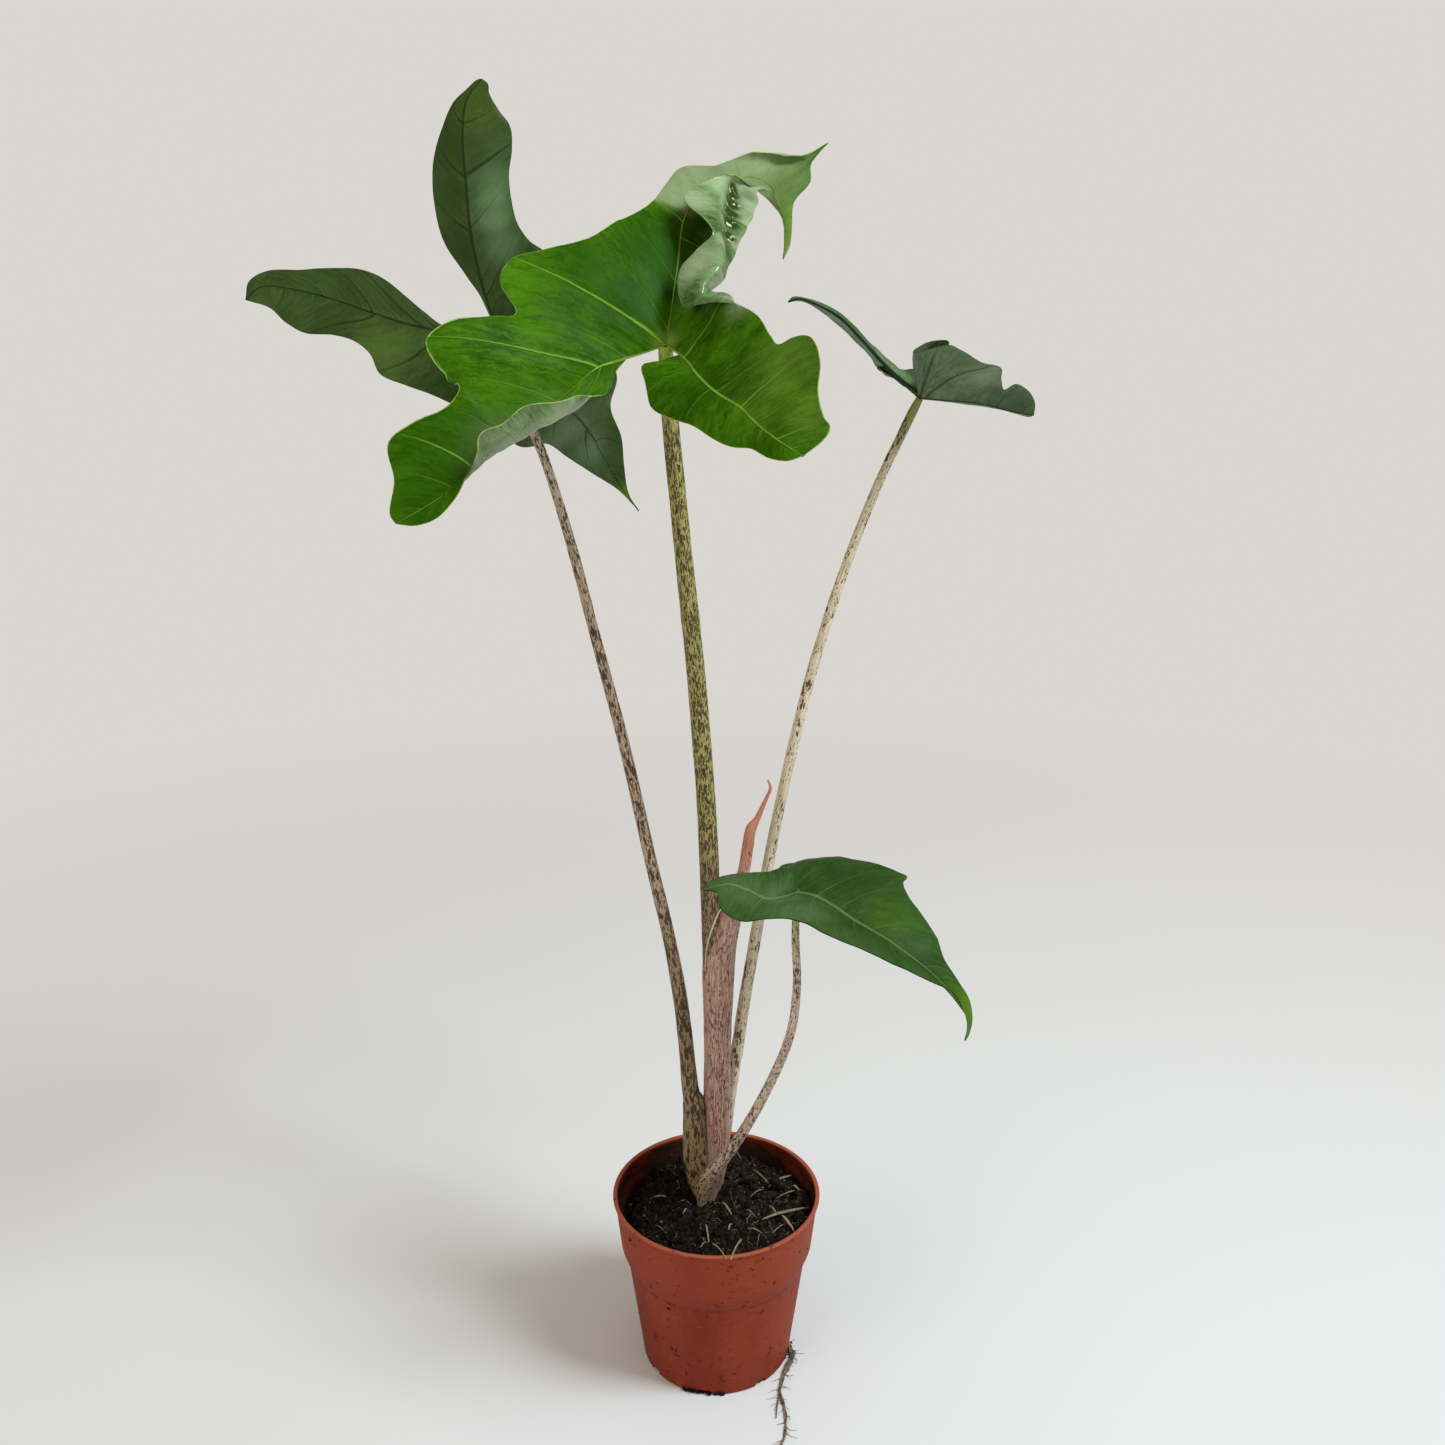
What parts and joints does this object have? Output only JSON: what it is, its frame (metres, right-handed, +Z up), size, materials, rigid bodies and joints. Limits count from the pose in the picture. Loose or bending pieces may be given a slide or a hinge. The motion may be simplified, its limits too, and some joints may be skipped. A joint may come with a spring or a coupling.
{
  "type": "potted alocasia nycteris plant",
  "caption": "Young bat-shaped alocasia with mottled leaf stems and a pink leaf sheath, growing in peat in a small tapered plastic nursery pot.",
  "frame": {"origin": "centre of the pot's underside, where it rests on the surface", "axes": "+Z up, -Y towards the viewer of the picture, +X to the viewer's right"},
  "size_m": [0.3898, 0.2368, 0.6941],
  "materials": {
    "pot_plastic": "matte terracotta-coloured plastic",
    "peat": "loose dark peat with pale fibres",
    "root": "dry, stringy root with soil on it",
    "stem_blotched": "smooth beige stem with dark brown blotches",
    "stem_olive": "smooth olive stem with dense dark specks",
    "stem_pale": "smooth cream stem with sparse brown marks",
    "sheath_pink": "papery dusty pink sheath with fine streaks",
    "leaf_grey_green": "matt leaf underside with dark veins",
    "leaf_bright_green": "glossy leaf with pale raised veins",
    "leaf_deep_green": "satin leaf with sunken veins"
  },
  "bodies": {
    "root": {"pot": "pot_plastic", "soil": "peat", "root": "root", "stem_left": "stem_blotched", "stem_centre": "stem_olive", "stem_right": "stem_pale", "stem_front": "stem_blotched", "cataphyll": "sheath_pink", "leaf_left": "leaf_grey_green", "leaf_centre": "leaf_bright_green", "leaf_right": "leaf_grey_green", "leaf_front": "leaf_deep_green"}
  },
  "joints": []
}
